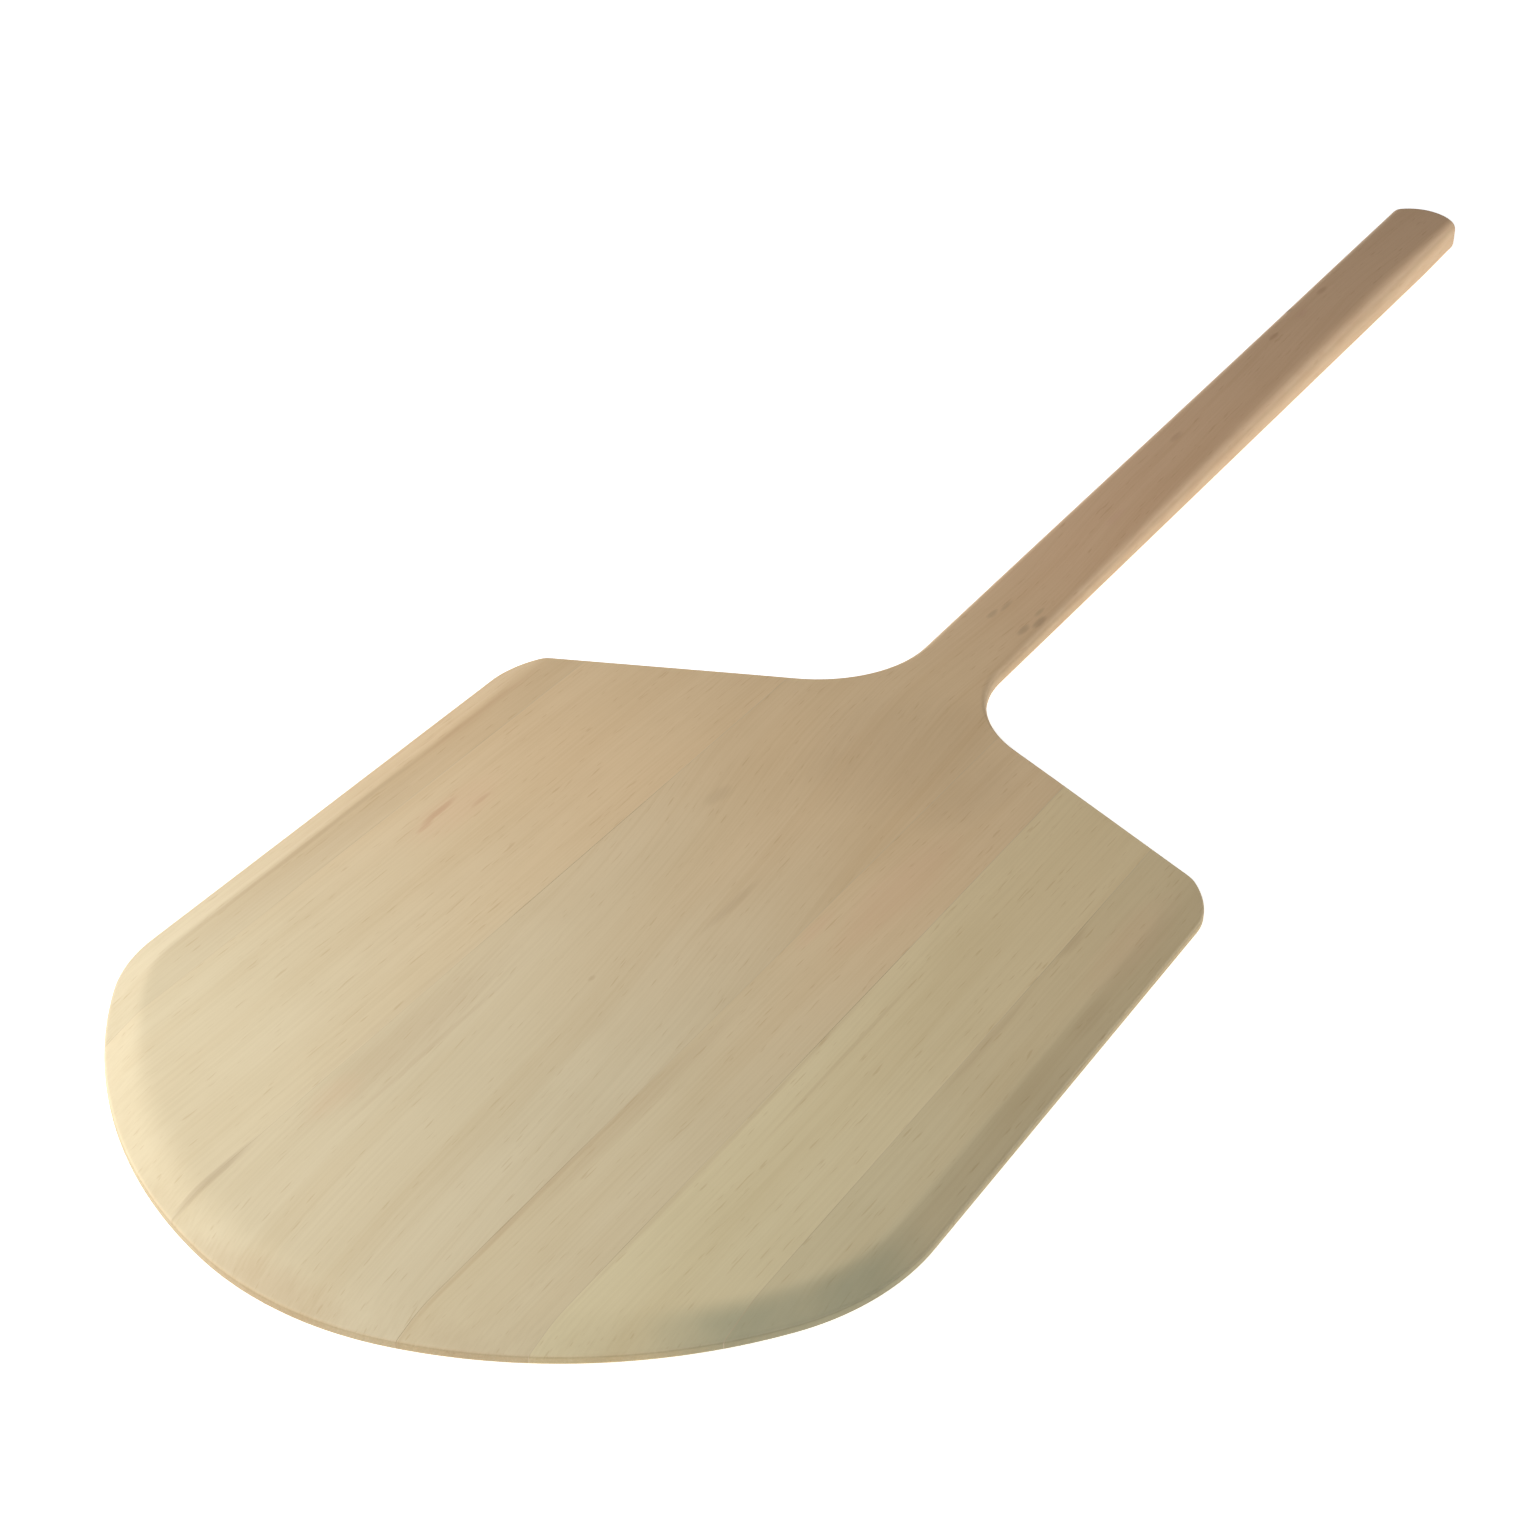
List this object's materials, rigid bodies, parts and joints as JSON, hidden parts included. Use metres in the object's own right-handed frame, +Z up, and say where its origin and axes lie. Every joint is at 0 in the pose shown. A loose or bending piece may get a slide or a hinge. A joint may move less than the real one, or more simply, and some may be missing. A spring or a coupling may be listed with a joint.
{
  "type": "pizza peel",
  "caption": "Wooden pizza peel: a thin edge-glued blade with a bevelled, curved front and slanted shoulders, and a long flat handle cut from the same board.",
  "frame": {"origin": "centre of the bounding box, on the flat underside", "axes": "+X from the nose of the blade to the end of the handle, +Y to the left as seen from the nose looking along the handle, +Z up out of the loading face"},
  "size_m": [1.067, 0.352, 0.0189],
  "materials": {
    "light_basswood": "sanded, unfinished",
    "warm_basswood": "sanded, unfinished",
    "pink_basswood": "sanded, unfinished",
    "green_basswood": "sanded, unfinished",
    "wood_glue": "cured, sanded flush"
  },
  "bodies": {
    "root": {"left_edge_stave": "warm_basswood", "left_inner_stave": "pink_basswood", "centre_stave": "warm_basswood", "right_inner_stave": "light_basswood", "right_middle_stave": "light_basswood", "right_edge_stave": "green_basswood", "glue_line_1": "wood_glue", "glue_line_2": "wood_glue", "glue_line_3": "wood_glue", "glue_line_4": "wood_glue", "glue_line_5": "wood_glue"}
  },
  "joints": []
}
